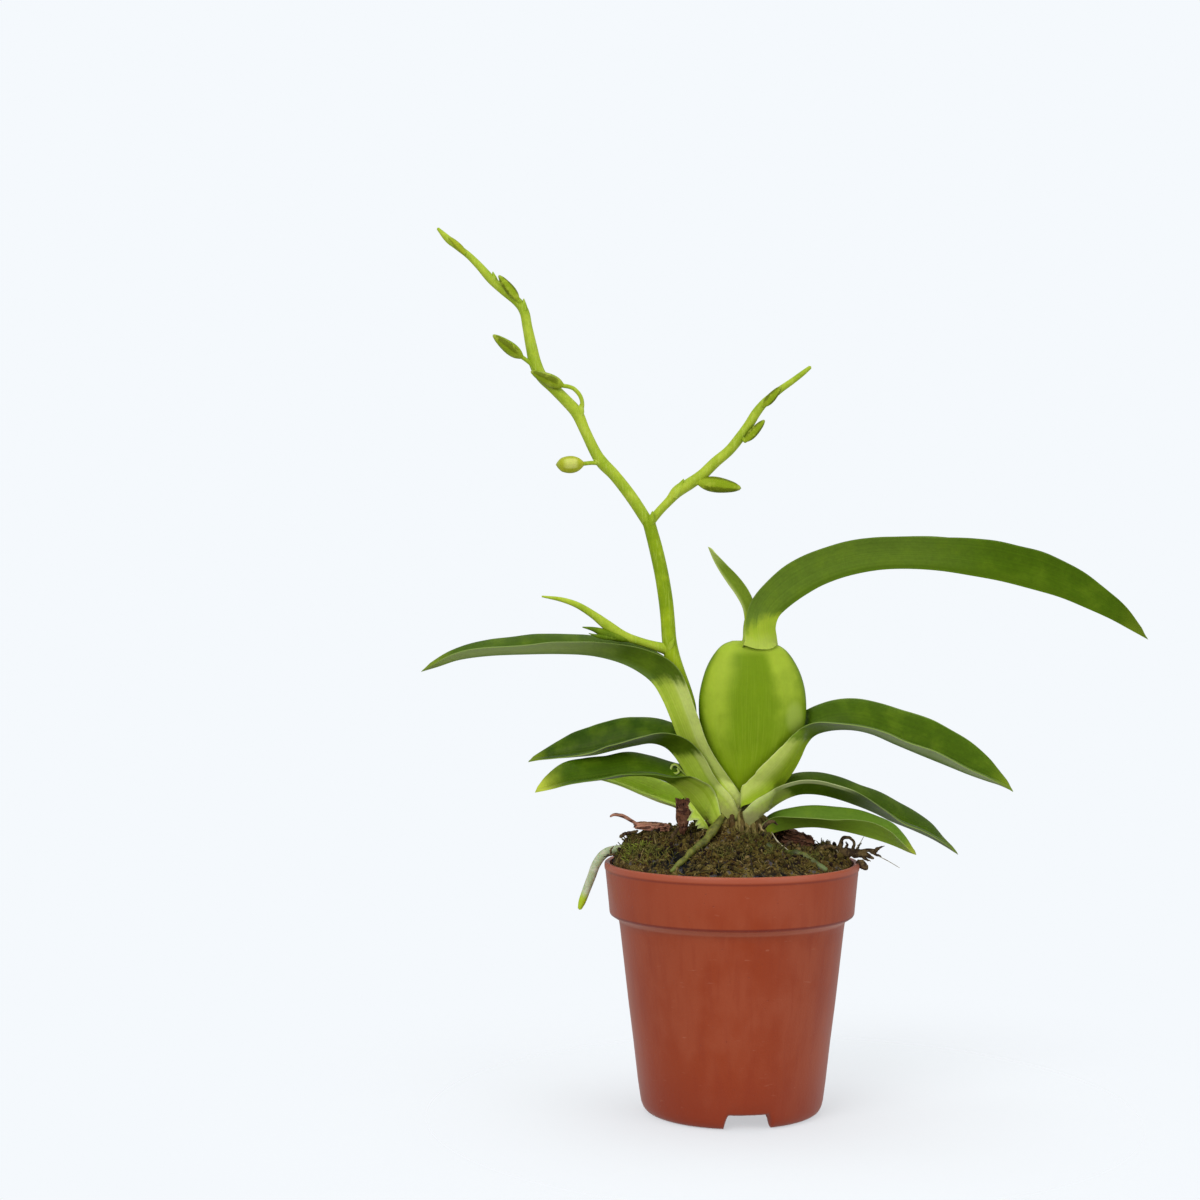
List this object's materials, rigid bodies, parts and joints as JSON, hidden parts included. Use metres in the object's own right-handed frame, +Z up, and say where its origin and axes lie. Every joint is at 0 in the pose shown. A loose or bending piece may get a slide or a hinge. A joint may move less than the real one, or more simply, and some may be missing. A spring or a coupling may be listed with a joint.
{
  "type": "potted orchid in bud",
  "caption": "Small orchid in bud with folded strap leaves, a flattened pseudobulb and a branched flower stem, in a round plastic nursery pot of bark and fibre.",
  "frame": {"origin": "centre of the bounding box's footprint, on the surface that the pot stands on; the pot's axis is 9.5 mm towards -X", "axes": "+Z up, +X to the viewer's right with the plant's fan of leaves in the XZ plane, +Y away from the viewer"},
  "size_m": [0.1426, 0.05, 0.1735],
  "materials": {
    "pot": "terracotta-coloured moulded plastic, satin",
    "compost": "damp fibrous coir and moss, rough",
    "bark": "rough bark",
    "rootstock": "dull, scaly",
    "root": "dull, spongy",
    "bulb": "waxy, finely furrowed",
    "leaf": "smooth, waxy",
    "sheath": "dry, membranous",
    "stem": "smooth, fleshy"
  },
  "bodies": {
    "root": {"pot": "pot", "compost": "compost", "bark_chip_flat": "bark", "bark_chip_upright": "bark", "bark_chip_right": "bark", "husk_curl": "bark", "rootstock": "rootstock", "roots_short": "root", "root_front": "root", "root_right": "root", "root_hanging": "root", "pseudobulb": "bulb", "leaf_left_1": "leaf", "leaf_left_2": "leaf", "leaf_left_3": "leaf", "leaf_left_4": "leaf", "leaf_right_1": "leaf", "leaf_right_2": "leaf", "leaf_right_3": "leaf", "leaf_apex_long": "leaf", "leaf_apex_small": "leaf", "sheath_old": "sheath", "flower_stem": "stem"}
  },
  "joints": []
}
